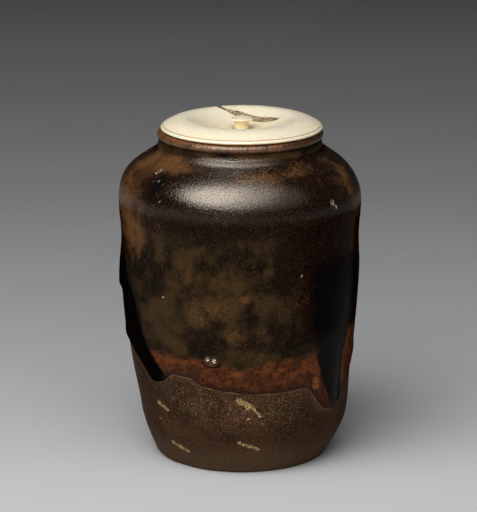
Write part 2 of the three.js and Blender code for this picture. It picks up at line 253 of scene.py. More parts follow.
def link(name, data):
    thing = bpy.data.objects.new(name, data)
    scene.collection.objects.link(thing)
    return thing


def make(name, points, faces, material, body, replaces, fields):
    """One piece, on its body, with the CAD nodes that it replaces."""
    mesh = bpy.data.meshes.new(name)
    mesh.from_pydata((points * MM).tolist(), [], faces)
    mesh.shade_smooth()
    for key, values in fields.items():
        layer = mesh.attributes.new(key, "FLOAT", "POINT")
        layer.data.foreach_set("value", np.asarray(values, np.float32).ravel())
    mesh.materials.append(material)
    piece = link(name, mesh)
    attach(piece, body)
    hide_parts(*replaces)


def around(count):
    return np.linspace(0, 360, count, endpoint=False)


def laid(profile, angle, shift=0):
    """Points at radii and heights, moved out by shift along the normals that come with them."""
    r, z, nr, nz = profile
    radius = r + nr * shift
    return np.stack([radius * np.sin(angle), -radius * np.cos(angle), z + nz * shift], axis=-1)


def spun(profile, azimuths, shift=0):
    """Points of a turned profile, rows by columns, moved out along its normals by shift."""
    level = np.ones(len(azimuths))
    return laid([part[:, None] * level for part in profile.T], np.radians(azimuths), shift)


def sheet(*corners):
    """Faces between four arrays of point numbers."""
    return np.stack(corners, axis=-1).reshape(-1, 4).tolist()


def quads(row_count, columns, wrap=False):
    """Faces of a grid that closes round its columns, and round its rows too where it wraps."""
    number = np.arange(row_count * columns).reshape(row_count, columns)
    number = np.hstack([number, number[:, :1]])
    if wrap:
        number = np.vstack([number, number[:1]])
    return sheet(number[:-1, :-1], number[:-1, 1:], number[1:, 1:], number[1:, :-1])


def make_turned(name, grid, start, end, material, body, replaces, fields):
    """A turned grid whose first and last rows close on two points on its axis."""
    count, columns = grid.shape[:2]
    points = np.vstack([grid.reshape(-1, 3), start, end])
    first, last = count * columns, (count - 1) * columns
    faces = quads(count, columns)
    faces += [[first, (a + 1) % columns, a] for a in range(columns)]
    faces += [[first + 1, last + a, last + (a + 1) % columns] for a in range(columns)]
    spread = {}
    for key, values in fields.items():
        values = np.broadcast_to(values, (count, columns))
        spread[key] = np.append(values, values[[0, -1], 0])
    make(name, points, faces, material, body, replaces, spread)


def patches(azimuths, z, table):
    """Sum of soft patches: azimuth, height, half width in degrees, half height, weight."""
    total = np.zeros_like(z)
    for azimuth, height, wide, tall, weight in table:
        across = bump(turn_between(azimuths, azimuth) / wide)
        total = total + weight * across * bump((z - height) / tall)
    return total


# Materials

class Graph:
    """Short calls for building one material's nodes."""

    def __init__(self, name):
        self.material = bpy.data.materials.new(name)
        self.material.use_nodes = True
        self.tree = self.material.node_tree
        self.shader = self.tree.nodes["Principled BSDF"]
        self.place = self.add("ShaderNodeTexCoord", {}).outputs["Object"]

    def add(self, kind, inputs, **settings):
        """A node with these settings, and these links or values at its inputs."""
        node = self.tree.nodes.new(kind)
        for key, value in settings.items():
            setattr(node, key, value)
        for key, value in inputs.items():
            self.put(node.inputs[key], value)
        return node

    def put(self, socket, value):
        if isinstance(value, bpy.types.NodeSocket):
            self.tree.links.new(value, socket)
        elif isinstance(value, tuple) and socket.type == "RGBA":
            socket.default_value = (*value, 1)
        else:
            socket.default_value = value

    def math(self, operation, a, b=0, clamp=False):
        inputs = {0: a, 1: b}
        node = self.add("ShaderNodeMath", inputs, operation=operation, use_clamp=clamp)
        return node.outputs[0]

    def times(self, a, b):
        return self.math("MULTIPLY", a, b)

    def plus(self, a, b, clamp=False):
        return self.math("ADD", a, b, clamp)

    def ease(self, value, low, high, to_low=0, to_high=1, soft=True):
        """Value from between low and high to between the two others."""
        inputs = dict(enumerate((value, low, high, to_low, to_high)))
        kind = "SMOOTHSTEP" if soft else "LINEAR"
        return self.add("ShaderNodeMapRange", inputs, interpolation_type=kind).outputs[0]

    def mix(self, share, a, b, blend="MIX"):
        inputs = {"Factor": share, 6: a, 7: b}
        return self.add("ShaderNodeMix", inputs, data_type="RGBA", blend_type=blend).outputs[2]

    def paint(self, share, color):
        """Lays a colour over the ones before it."""
        self.color = self.mix(share, self.color, color)

    def noise(self, size, detail=2, roughness=0.5, distortion=0, stretch=None):
        """Noise from 0 to 1 with lumps of about size mm."""
        place = self.place
        if stretch is not None:
            place = self.add("ShaderNodeMapping", {"Vector": place, "Scale": stretch}).outputs[0]
        inputs = {"Vector": place, "Scale": 1 / (size * MM), "Detail": detail}
        inputs |= {"Roughness": roughness, "Distortion": distortion}
        return self.add("ShaderNodeTexNoise", inputs).outputs["Fac"]

    def cells(self, size, feature="F1"):
        """Distance in cells of about size mm, to their middles or to their edges."""
        inputs = {"Vector": self.place, "Scale": 1 / (size * MM)}
        return self.add("ShaderNodeTexVoronoi", inputs, feature=feature).outputs["Distance"]

    def attribute(self, name):
        return self.add("ShaderNodeAttribute", {}, attribute_name=name).outputs["Fac"]

    def frayed(self, name, noise, low, high):
        """An attribute with its border broken up by noise."""
        return self.plus(self.attribute(name), self.ease(noise, 0.3, 0.7, low, high))

    def axis(self, name):
        return self.add("ShaderNodeSeparateXYZ", {0: self.place}).outputs[name]

    def relief(self, height, distance):
        """A normal from a height from 0 to 1 that stands for distance mm."""
        inputs = {"Strength": 1, "Distance": distance * MM, "Height": height}
        return self.add("ShaderNodeBump", inputs).outputs["Normal"]

    def finish(self, roughness, **inputs):
        """Links or sets the shader's inputs."""
        inputs |= {"Base_Color": self.color, "Roughness": roughness}
        for key, value in inputs.items():
            self.put(self.shader.inputs[key.replace("_", " ")], value)
        return self.material


def clay_material():
    g = Graph("stoneware_clay")
    broad = g.noise(9, 3, 0.55)
    medium = g.noise(2.2, 4, 0.6, 0.4)
    fine = g.noise(0.34, 3, 0.65)
    # Red brown over black brown, and paler at the foot
    g.color = g.mix(g.ease(broad, 0.35, 0.68), (0.027, 0.0103, 0.0045), (0.066, 0.027, 0.012))
    g.paint(g.ease(medium, 0.4, 0.66, 0, 0.7), (0.022, 0.012, 0.0065))
    g.paint(g.ease(g.axis("Z"), 0.001, 0.012, 0.55, 0), (0.105, 0.066, 0.036))
    # Sandy grains and dark iron dots
    grains = g.times(g.ease(fine, 0.5, 0.64), g.ease(medium, 0.3, 0.56))
    speck = g.times(grains, g.ease(g.attribute("speck"), 0, 1, 0.3, 0.95))
    g.paint(speck, (0.23, 0.15, 0.075))
    size = g.ease(g.noise(1.4, 1), 0.45, 0.8, 0, 0.26)
    dot = g.math("LESS_THAN", g.cells(0.9), size)
    g.paint(g.times(dot, 0.75), (0.012, 0.007, 0.005))
    # Scars from a neighbour in the kiln, then a thin light tan line along the glaze's edge that
    # is a painted highlight, and the wash under the glaze
    scar = g.ease(g.frayed("scar", fine, -0.45, 0.25), 0.42, 0.7)
    g.paint(scar, g.mix(g.ease(fine, 0.42, 0.58), (0.14, 0.08, 0.03), (0.5, 0.33, 0.16)))
    # Painted highlight: a thin light tan line just under the glaze's rolled edge
    below = g.attribute("below")
    line = g.times(g.ease(below, 0.02, 0.12), g.ease(below, 0.55, 0.22))
    line = g.times(line, g.ease(g.noise(3), 0.36, 0.6, 0.25, 0.95))
    g.paint(line, (0.3, 0.19, 0.095))
    wash = g.times(g.ease(below, 2.6, 0.4), g.ease(medium, 0.3, 0.6, 0.2, 0.8))
    g.paint(g.times(wash, 0.4), (0.085, 0.045, 0.022))
    g.paint(g.times(g.attribute("inside"), 0.7), (0.14, 0.085, 0.05))
    # Sandy grain and trimming lines
    trim = g.noise(1.1, 3, 0.6, stretch=(0.12, 0.12, 1))
    height = g.plus(g.times(fine, 0.55), g.times(trim, 0.8))
    height = g.plus(height, g.times(scar, -0.8))
    normal = g.relief(height, 0.14)
    gloss = g.ease(medium, 0.3, 0.7, 0.62, 0.84)
    # Dry clay mirrors next to nothing
    return g.finish(gloss, Normal=normal, IOR=1.5, Specular_IOR_Level=0.05)


def glaze_material():
    g = Graph("iron_glaze")
    broad = g.noise(12)
    soft = g.noise(5, 3)
    streak = g.noise(4.5, stretch=(1.2, 1.2, 0.6))
    fine = g.noise(0.4, 2, 0.6)
    grit = g.ease(fine, 0.36, 0.64)
    specks = g.noise(0.8, 2, 0.6)
    # Olive brown clouds over black brown
    cloud = g.plus(g.times(soft, 0.55), g.times(broad, 0.45))
    g.color = g.mix(g.ease(cloud, 0.42, 0.62), (0.006, 0.003, 0.001), (0.041, 0.0225, 0.0075))
    g.paint(g.ease(streak, 0.56, 0.74, 0, 0.4), (0.055, 0.03, 0.0105))
    # Maroon black of the shoulder and the right side
    dark = g.plus(g.attribute("dark"), g.ease(cloud, 0.35, 0.65, -0.3, 0.3))
    dark = g.ease(dark, 0.15, 0.95)
    g.paint(dark, g.mix(grit, (0.0037, 0.0009, 0.0006), (0.0105, 0.0024, 0.0013)))
    # Amber patches
    amber = g.plus(g.attribute("amber"), g.ease(cloud, 0.35, 0.65, -0.4, 0.3))
    amber = g.plus(amber, g.ease(specks, 0.3, 0.7, -0.3, 0.3))
    amber = g.ease(amber, 0.1, 1.35)
    gold = g.ease(cloud, 0.4, 0.6)
    g.paint(amber, g.mix(gold, (0.062, 0.0235, 0.0085), (0.12, 0.053, 0.017)))
    # Kaki band over the edge, with dark specks, a dark line and orange where it is thin
    mottle = g.ease(g.noise(2.6, 3, 0.6), 0.4, 0.6)
    kaki = g.mix(mottle, (0.05, 0.0135, 0.0045), (0.135, 0.037, 0.0095))
    edge = g.attribute("edge")
    ripple = g.ease(g.noise(2.2, 3), 0.3, 0.7, -0.5, 0.6)
    line = g.ease(g.plus(edge, ripple), 2, 0.9)
    kaki = g.mix(g.times(line, 0.85), kaki, (0.018, 0.006, 0.004))
    lower = g.ease(g.plus(edge, g.times(ripple, 2.5)), 5.5, 1.5, 0, 0.6)
    kaki = g.mix(lower, kaki, (0.04, 0.011, 0.0065))
    kaki = g.mix(g.ease(g.attribute("orange"), 0.25, 0.8), kaki, (0.24, 0.075, 0.018))
    freckle = g.times(g.ease(specks, 0.56, 0.64), g.ease(fine, 0.42, 0.58))
    kaki = g.mix(g.times(freckle, 0.9), kaki, (0.01, 0.005, 0.0035))
    g.paint(g.ease(g.frayed("band", specks, -0.22, 0.22), 0.15, 0.85), kaki)
    # Runs: near black
    run = g.ease(g.frayed("run", soft, -0.16, 0.16), 0.2, 0.8)
    g.paint(run, g.mix(broad, (0.001, 0.0006, 0.0005), (0.0025, 0.0018, 0.0015)))
    # Thin reddish glaze on the lip, and black in the groove under it: pooled glaze, with painted
    # shade under the lip
    g.paint(g.attribute("neck_pool_and_shade"), (0.004, 0.0028, 0.0022))
    lip = g.mix(g.ease(soft, 0.4, 0.6), (0.068, 0.025, 0.009), (0.175, 0.066, 0.022))
    lip = g.mix(g.ease(specks, 0.52, 0.64, 0, 0.7), lip, (0.028, 0.01, 0.005))
    g.paint(g.attribute("lip"), lip)
    # Fine dark pits, lighter crystals that the runs nearly lack, and light spots at the pin
    # holes and on the blister, which are painted glints
    g.paint(g.ease(fine, 0.54, 0.68, 0, 0.7), (0.0045, 0.0025, 0.0018))
    light = g.mix(0.55, g.color, (0.11, 0.062, 0.024))
    crystals = g.ease(g.noise(0.42, 1), 0.57, 0.7, 0, 0.45)
    crystals = g.times(crystals, g.ease(run, 0, 1, 1, 0.15))
    g.paint(crystals, light)
    painted_glint = g.times(g.ease(g.attribute("painted_glint"), 0.2, 0.7), g.ease(fine, 0.52, 0.6))
    g.paint(painted_glint, (0.9, 0.76, 0.6))
    # Orange peel, pits and faint throwing rings
    rings = g.noise(1.6, stretch=(0.05, 0.05, 1))
    peel = g.noise(0.62, 1)
    pit = g.ease(g.cells(0.75), 0.05, 0.3)
    height = g.plus(g.times(peel, 0.6), g.times(rings, 0.12))
    height = g.plus(height, g.times(fine, 1.5))
    height = g.plus(height, g.times(pit, 0.5))
    height = g.plus(height, g.times(g.attribute("pitted"), g.times(specks, 4.5)))
    normal = g.relief(height, 0.045)
    gloss = g.ease(fine, 0.3, 0.75, 0.08, 0.17)
    # Hairline scratches where the glaze is worn
    broken = g.times(g.ease(g.noise(2.2, 1), 0.5, 0.62), g.attribute("worn"))
    hair = g.times(g.ease(g.cells(4.5, "DISTANCE_TO_EDGE"), 0.006, 0.02, 1, 0), broken)
    g.paint(g.times(hair, 0.32), (0.16, 0.1, 0.055))
    gloss = g.plus(gloss, g.times(hair, 0.2))
    # Dull glaze is rougher and mirrors less, and pores break the gloss up
    dull = g.attribute("dull")
    gloss = g.plus(gloss, g.times(dull, 0.22))
    pores = g.ease(g.noise(0.36, 2, 0.6), 0.4, 0.6, 0.4, 0.66)
    level = g.times(g.math("SUBTRACT", 1, dull), pores)
    tint = (1, 0.87, 0.72)
    return g.finish(gloss, Normal=normal, IOR=1.9, Specular_IOR_Level=level, Specular_Tint=tint)


def ivory_material(name, light, warm):
    g = Graph(name)
    grain = g.noise(1.5, 3, 0.6, stretch=(0.35, 2.2, 1))
    cloud = g.noise(7, 3)
    fine = g.noise(0.3, 2, 0.6)
    share = g.plus(g.ease(cloud, 0.3, 0.7, -0.3, 0.3), g.attribute("warm"), clamp=True)
    g.color = g.mix(share, light, warm)
    # Painted light: a lighter colour on the lid's flange
    g.paint(g.times(g.attribute("painted_light"), 0.45), (1, 0.9, 0.67))
    g.paint(g.ease(grain, 0.45, 0.75, 0, 0.2), tuple(c * 0.88 for c in warm))
    g.paint(g.attribute("line"), (0.4, 0.21, 0.055))
    g.paint(g.attribute("stain"), (0.42, 0.25, 0.1))
    g.paint(g.ease(fine, 0.7, 0.78, 0, 0.2), (0.35, 0.25, 0.13))
    height = g.plus(g.times(grain, 0.5), g.times(fine, 0.4))
    return g.finish(
        g.ease(cloud, 0.3, 0.7, 0.22, 0.32), Normal=g.relief(height, 0.008), IOR=1.53,
        Subsurface_Weight=0.35, Subsurface_Scale=0.0012, Subsurface_Radius=(1, 0.6, 0.35),
    )


def crust_material():
    g = Graph("canal_crust")
    lumps = g.noise(0.6, 3, 0.6, 0.5)
    fine = g.noise(0.26, 3, 0.7)
    g.color = g.mix(g.ease(lumps, 0.44, 0.56), (0.16, 0.1, 0.045), (0.58, 0.43, 0.25))
    g.paint(g.ease(fine, 0.48, 0.6, 0, 0.85), (0.035, 0.022, 0.01))
    rim = g.times(g.attribute("rim"), g.ease(g.noise(1.6), 0.35, 0.6, 0.3, 1))
    g.paint(rim, (0.03, 0.02, 0.01))
    g.paint(g.attribute("tip"), (0.06, 0.062, 0.045))
    normal = g.relief(g.plus(lumps, g.times(fine, 0.5)), 0.22)
    return g.finish(g.ease(lumps, 0.3, 0.7, 0.6, 0.9), Normal=normal, IOR=1.5)


def gold_material():
    g = Graph("gold_leaf")
    wrinkle = g.noise(1.4, 4, 0.6, 1.5)
    leaf = g.noise(9)
    worn = g.ease(g.noise(2.5, 5, 0.7), 0.62, 0.72)
    g.color = g.mix(g.ease(leaf, 0.35, 0.65), (0.72, 0.46, 0.14), (0.62, 0.37, 0.1))
    g.paint(g.times(worn, 0.6), (0.36, 0.17, 0.06))
    gloss = g.ease(wrinkle, 0.3, 0.7, 0.28, 0.48)
    metal = g.ease(worn, 0, 1, 1, 0.3)
    return g.finish(gloss, Normal=g.relief(wrinkle, 0.06), Metallic=metal)


def floor_material():
    """Pale, and greyer towards the back: the grey is a painted falloff of the light."""
    g = Graph("studio_floor")
    # Painted falloff of the light: the floor's colour darkens from the front to the back
    back = g.ease(g.axis("Y"), -0.05, 0.75, soft=False)
    painted_falloff = g.add("ShaderNodeValToRGB", {0: back})
    falloff_stops = [
        (0, 1.1), (0.03, 1.065), (0.07, 0.967), (0.12, 0.88), (0.18, 0.778), (0.245, 0.687),
        (0.416, 0.5), (0.65, 0.382), (0.79, 0.349), (0.97, 0.278),
    ]
    elements = painted_falloff.color_ramp.elements
    elements.remove(elements[1])
    for index, (at, level) in enumerate(falloff_stops):
        stop = elements[0] if index == 0 else elements.new(at)
        stop.position = at
        stop.color = (level * 0.475, level * 0.477, level * 0.481, 1)
    grain = g.ease(g.noise(30), 0.3, 0.7, 0.99, 1.01)
    g.color = g.mix(1, painted_falloff.outputs[0], grain, "MULTIPLY")
    return g.finish(0.9, IOR=1.3)


CLAY = clay_material()
GLAZED = glaze_material()
IVORY = ivory_material("turned_ivory", (0.8, 0.73, 0.56), (0.82, 0.71, 0.49))
KNOB = ivory_material("knob_ivory", (0.88, 0.8, 0.62), (0.84, 0.68, 0.4))
CRUST = crust_material()
GOLD = gold_material()


STROKE_RADIUS = 27
EDGE_RADIUS = 28


def unrolled(azimuth, z, strokes, points):
    """Mask of strokes on the wall: each runs between two (azimuth, height) ends."""
    mask = np.zeros_like(z)
    ragged = layered(points, 1.1, 31) * 0.36
    u = np.radians(turn_between(azimuth, 0)) * STROKE_RADIUS
    for start, end, half, weight in strokes:
        a, b = (np.array([math.radians(x) * STROKE_RADIUS, y]) for x, y in (start, end))
        along = b - a
        reach = (u - a[0]) * along[0] + (z - a[1]) * along[1]
        t = np.clip(reach / (along @ along), 0, 1)
        distance = np.hypot(u - a[0] - t * along[0], z - a[1] - t * along[1])
        mask = np.maximum(mask, weight * smooth(1.5 - distance / half + ragged))
    return mask


def edge_line(azimuth):
    """The glaze's edge with its small waver."""
    angle = np.radians(azimuth)
    ring = EDGE_RADIUS * np.stack([np.sin(angle), -np.cos(angle), 0 * angle], axis=-1)
    return edge_height(azimuth) + 0.16 * rough(ring, 2.6, 5) + 0.07 * rough(ring, 0.9, 6)


# Arc length along the wall and the crown, for the glaze and for distances from its edge
DENSE = np.vstack([
    *[bezier(*curve, steps(400, first=n == 0)) for n, curve in enumerate(WALL_CURVES)],
    arc(LIP_MIDDLE, *LIP_ROLL, 0, 180, 200),
    straight(MOUTH, GLAZE_END, 100),
])
LENGTH = np.concatenate([[0], np.cumsum(np.hypot(*np.diff(DENSE[:, :2], axis=0).T))])
WALL_TOP = np.argmax(DENSE[:, 1] > 80)
CROWN_LENGTH = LENGTH[np.argmax(DENSE[:, 1] > 81)]


def length_at(z):
    return np.interp(z, DENSE[:WALL_TOP, 1], LENGTH[:WALL_TOP])


def profile_at(length):
    return [np.interp(length, LENGTH, DENSE[:, n]) for n in range(4)]


def edge_distance(azimuths, lengths, radii, reach=44):
    """Distance over the wall from each point of a grid to the glaze's edge line."""
    edge = length_at(edge_line(azimuths))
    best = np.full(lengths.shape, 1e9)
    for shift in range(-reach, reach + 1):
        across = radii * TURN / len(azimuths) * shift
        best = np.minimum(best, np.hypot(across, lengths - np.roll(edge, -shift)))
    return best


# Clay jar

# Radius where a turned outline starts or ends, and a distance that counts as far from the edge
CLOSING = 0.9
NO_EDGE = 20
SCARS = [
    # start and end as azimuth and height, half width, depth
    ((-52.4, 18), (-44.6, 16.6), 0.42, 1), ((-51.6, 18.6), (-50.2, 18.2), 0.3, 0.8),
    ((-53.6, 13.3), (-52.6, 13), 0.32, 0.9), ((-45.9, 7.1), (-34.8, 5.3), 0.5, 1),
    ((-41, 7), (-39, 6.6), 0.3, 0.7), ((-1.6, 22), (4, 20.2), 0.85, 1),
    ((3.6, 20.6), (8.4, 17.6), 0.5, 1), ((-0.6, 17.4), (3, 16.6), 0.42, 0.7),
    ((7, 16), (9.6, 15.2), 0.3, 0.6), ((-2.9, 9.9), (2.6, 8.7), 0.5, 1),
    ((2.6, 8.9), (8.4, 7.6), 0.42, 0.9), ((9.5, 15.9), (25, 15.5), 0.14, 0.55),
    ((24, 15.6), (41, 14.7), 0.12, 0.5), ((33, 25.2), (35, 24.2), 0.3, 0.6),
    ((118, 9), (126, 8), 0.45, 0.9), ((-128, 15), (-121, 13.8), 0.4, 0.9),
    ((171, 17), (174, 16), 0.5, 0.8),
]
NICKS = [(-39.6, 0.9, 3.4, 1, 1), (-47, 0.5, 1.6, 0.7, 0.6), (74, 0.6, 2.4, 0.8, 0.5)]
SANDY = [(2, 19, 34, 4.6, 1), (-32, 21, 12, 4, 0.55), (170, 17, 30, 5, 0.8)]


def clay_profile():
    """The outline from under the foot, over the lip and down inside, and how much is outside."""
    low_belly = np.concatenate([0.6 * steps(75), 0.6 + 0.4 * steps(12)])
    spaces = [6, 38, low_belly, 5, 5, 10, 4, 8, 4]
    outer = np.vstack([
        straight((CLOSING, 0), FOOT, steps(20, first=True)),
        *[bezier(*curve, t) for curve, t in zip(WALL_CURVES, spaces)],
        arc(LIP_MIDDLE, *LIP_ROLL, 0, 180, 8),
        straight(MOUTH, MOUTH_END, 8),
    ])
    hollow = np.vstack([
        bezier(*curve, steps(count, first=n == 0))
        for n, (curve, count) in enumerate(zip(WALL_CURVES[2:6], (40, 8, 8, 14)))
    ])
    hollow[:, :2] -= WALL * hollow[:, 2:]
    hollow[:, 2:] *= -1
    hollow = hollow[::-1]
    throat = bezier(MOUTH_END, hollow[0, :2], ((0, 0.5), (0.45, 0.72)), steps(10)[:-1])
    bend = bezier(hollow[-1, :2], FLOOR, ((0.1, 0.5), (0.55, 0.93)), 12)
    floor = straight(FLOOR, (CLOSING, FLOOR[1]), 22)
    return np.vstack([outer, throat, hollow, bend, floor]), len(outer)


def clay_relief(profile, azimuths, rest, inside, outside, scars):
    """How far the clay stands out from its outline."""
    z = rest[..., 2]
    radius = radius_of(rest)
    # Trimming lines, an uneven wall, nicks in the foot and scars
    lines = np.sin(TURN * z / 1.3 + 2.2 * rough(rest, 14, 3)) * 0.6
    lines = lines + np.sin(TURN * z / 0.53) * 0.3
    uneven = 0.07 * layered(rest, 6, 11) + 0.02 * rough(rest, 0.9, 12) - 0.03
    shift = np.where(outside, 0.028 * lines * window(z, 0.8, 2, 27, 8) + uneven, 0)
    shift = shift - 0.45 * patches(azimuths, z, NICKS) * (profile[:, 2] > 0.3)[:, None]
    shift = shift - 0.13 * scars
    # Throwing ridges up the inside and a spiral on its floor
    spiral = np.sin(TURN * (z / 4.6 - azimuths / 360) + 0.9 * rough(rest, 20, 8))
    ridges = 0.2 * spiral * smooth((79 - z) / 6) + 0.04 * layered(rest, 3, 9)
    shift = shift + np.where(inside & (z > 9) & (z < 79), ridges, 0)
    coil = np.sin(TURN * (radius / 3.4 - azimuths / 360)) * window(radius, 0, 3, 19, 3)
    shift = shift + np.where(inside & (z < FLOOR[1] + 0.05), 0.14 * coil - 0.05, 0)
    # Marks of the cutting string under the foot
    under = (profile[:, 3] < -0.9)[:, None] & (z < 0.01)
    pull = np.hypot(rest[..., 0] + 9, rest[..., 1] - 31)
    ridge = (0.5 + 0.5 * np.sin(TURN * pull / 1.25 + 0.7 * rough(rest, 6, 4))) ** 2
    return shift - np.where(under, 0.13 * ridge * window(radius, 0, 2, 22, 2), 0)


def build_clay():
    azimuths = around(300)
    profile, outer_rows = clay_profile()
    inside = (np.arange(len(profile)) >= outer_rows - 4)[:, None]
    rest = spun(profile, azimuths)
    z = rest[..., 2]
    outside = ~inside & (z < 40) & (profile[:, 3] > -0.9)[:, None]
    scars = unrolled(azimuths, z, SCARS, rest) * outside
    grid = spun(profile, azimuths, clay_relief(profile, azimuths, rest, inside, outside, scars))
    grid[..., 2] = np.maximum(grid[..., 2], 0)
    grid[..., 0] += sway(grid[..., 2])
    # Distance below the glaze's edge, and sandy patches
    lengths = length_at(np.clip(z, 0, 60))
    apart = edge_distance(azimuths, lengths, np.maximum(radius_of(rest), 5), reach=30)
    below = np.where(z < edge_line(azimuths), apart, -apart)
    below = np.where(outside, below, NO_EDGE)
    sandy = patches(azimuths, z, SANDY) + 0.5 * bump((below - 0.8) / 1.2)
    sandy = np.clip(sandy, 0, 1) * outside
    start, end = (sway(0), 0, 0.02), (sway(FLOOR[1]), 0, FLOOR[1])
    fields = {"below": below, "scar": scars, "speck": sandy, "inside": inside}
    make_turned("jar_clay", grid, start, end, CLAY, "jar", ["jar_body"], fields)


# Glaze

# Height above which the rows run level, and how far its rim and its back lie in the clay
SHARED_HEIGHT = 37.5
BURIED = 0.04
SUNK = -0.06
NEAR_EDGE = [
    0, 0.03, 0.08, 0.15, 0.25, 0.38, 0.54, 0.74, 0.98, 1.26, 1.6, 2, 2.45, 2.95, 3.5, 4.1,
]
# The blister's place, and its bubbles: offset sideways and up, width, height
BLISTER = (-15, 33.1)
BUBBLES = [(-0.5, 0.35, 0.85, 0.6), (1.35, 0, 1, 0.62), (0.3, -0.9, 0.7, 0.35)]
# Azimuth, height, width and depth
PITS = [
    (-52.4, 80.3, 0.7, 0.25), (48.6, 73.4, 0.9, 0.2), (50.5, 72.6, 0.6, 0.2),
    (-38.9, 49.1, 0.5, 0.22), (21, 30.2, 0.45, 0.2), (-44, 72.8, 0.5, 0.16),
    (-36, 61, 0.3, 0.14), (120, 66, 0.8, 0.2), (-150, 58, 0.7, 0.2),
]
# Painted glints: azimuth, height and width
PAINTED_GLINTS = [
    (-52.4, 80.2, 0.65), (-46.5, 78.6, 0.3), (48.6, 73.4, 0.7), (50.5, 72.2, 0.5),
    (-40.5, 74.2, 0.3), (-38.9, 49.1, 0.4), (-36, 61, 0.3), (30, 55.5, 0.35),
    (118, 66, 1), (-150, 58, 0.9),
]
# Height that the kaki band reaches up to, round the jar
BAND_TOP = [
    (-180, 32), (-130, 33.5), (-95, 35), (-62, 34.6), (-45, 34.3), (-20, 33), (0, 31.4),
    (18, 32.3), (35, 34.2), (62, 36.5), (68, 37), (80, 36.2), (100, 34.5), (140, 30), (180, 32),
]
AMBER = [
    (-70, 72, 15, 9, 1.5), (-60, 81.5, 12, 2.8, 1.6), (-45, 82.6, 8, 1.6, 1.2),
    (-63, 58, 3, 5, 0.5), (-60, 66.5, 8, 4.5, 0.7), (-57, 59.5, 2.4, 5, 0.9),
    (-55, 62, 4, 3, 0.7), (70, 75, 8, 7, 1.15), (68, 62, 5, 7, 0.95), (3.6, 50.3, 4.4, 1.5, 1.3),
    (-79, 47.3, 1.2, 0.7, 1.4), (12, 80.4, 26, 1.2, 0.7), (-30, 81.6, 14, 1.5, 0.9),
    (38, 81.5, 14, 1.6, 0.35), (-16, 46.5, 10, 4, 0.5), (-24, 54, 6, 2.5, 0.4),
    (110, 72, 14, 7, 1), (165, 64, 10, 9, 1), (-140, 70, 16, 8, 1.1), (-165, 50, 9, 5, 0.7),
    (120, 50, 8, 4, 0.6), (0, 40, 16, 3, 0.45), (12, 36.5, 12, 2, 0.45),
]
ORANGE = [
    (40.8, 24.9, 2.6, 1.9, 1.2), (30, 31, 7, 1.6, 0.3), (12, 28.2, 10, 1.3, 0.35),
    (20, 30.4, 6, 1.6, 0.4), (-2, 29.8, 8, 1.6, 0.5), (66, 33, 2.6, 3.2, 0.3),
    (64.5, 29, 2, 2.4, 0.3), (-30, 30.5, 7, 1, 0.35), (-42, 30.4, 3, 1.2, 0.35),
    (150, 26, 3, 2, 0.8), (134, 28, 3, 2, 0.8), (-100, 35, 6, 1.5, 0.5),
]
DARK_PATCH = [(-50, 77.5, 6.5, 3.4, 0.9)]
BLACK_PATCHES = [(-45.5, 77.6, 5.5, 3, 0.9), (-13, 30.2, 5.5, 1.8, 0.6)]


def glaze_rows(azimuths):
    """Arc lengths of the face's rows, close together near the edge, and of the back's rows."""
    edge = length_at(edge_line(azimuths))
    shared = length_at(SHARED_HEIGHT)
    top = LENGTH[-1]
    level = np.ones(len(azimuths))
    high = [*np.arange(shared + 0.5, CROWN_LENGTH, 0.5), *np.linspace(CROWN_LENGTH, top, 34)]
    face = [edge + n for n in NEAR_EDGE]
    face += [lerp(edge + NEAR_EDGE[-1], shared, t) for t in steps(24)]
    face += [length * level for length in high]
    back = [length * level for length in np.linspace(top, shared, 12)[1:-1]]
    back += [lerp(shared, edge + 0.12, t) for t in (0, 0.35, 0.7, 1)]
    return np.array(face), np.array(back)


def offset(azimuths, radii, z, azimuth, height):
    """Distances over the wall, sideways and up, from one place on it."""
    return np.radians(turn_between(azimuths, azimuth)) * radii, z - height


def glaze_skin(face, z, apart, extra, rest):
    """How far the glaze's face stands out from the clay's outline."""
    rolled = np.sqrt(1 - (1 - np.clip(apart / EDGE_ROLL, 0, 1)) ** 2)
    open_face = rolled * smooth((LENGTH[-1] - face) / 1.2)
    full = GLAZE + EDGE_BEAD * bump((apart - EDGE_ROLL) / EDGE_ROLL) + extra
    skin = (GLAZE_GAP + BURIED + full) * open_face - BURIED
    # Soft unevenness, and throwing rings that show through the glaze
    skin = skin + open_face * (0.045 * layered(rest, 9, 21, 2) - 0.045)
    rings = np.sin(TURN * z / 3.1 + 1.3 * rough(rest, 18, 22)) * smooth((72 - z) / 6)
    return skin + 0.016 * open_face * rings


def blister_parts(azimuths, radii, z):
    """Height of the bubbles, their lit spots, lighter spots painted on them as highlights, and
    the dark rim under them, which is painted shade.
    """
    across, up = offset(azimuths, radii, z, *BLISTER)
    raised, lit, painted_light = np.zeros((3, *z.shape))
    for along, high, size, tall in BUBBLES:
        x, y = across - along, up - high
        raised = raised + tall * bump(np.hypot(x, y) / size)
        lit = np.maximum(lit, bump(np.hypot(x + 0.25 * size, y - 0.5 * size) / (0.6 * size)))
        # Painted highlight: a lighter spot high on each large bubble
        if tall > 0.5:
            painted_light = np.maximum(painted_light, bump(np.hypot(x + 0.1, y - 0.2) / 0.6))
    # Painted shade: a dark rim round the blister's lower side
    ring = bump((np.hypot((across - 0.35) / 2.5, (up + 0.1) / 1.6) - 1) / 0.25)
    return raised, lit, painted_light, ring * smooth((0.4 - up) / 1.2)


def pit_depth(azimuths, radii, z):
    """Depth of the pin holes, less the low wall round each."""
    depth = np.zeros_like(z)
    for azimuth, height, width, deep in PITS:
        away = np.hypot(*offset(azimuths, radii, z, azimuth, height)) / width
        depth = depth + deep * (bump(away / 0.6) - 0.5 * bump((away - 1) / 0.5))
    return depth


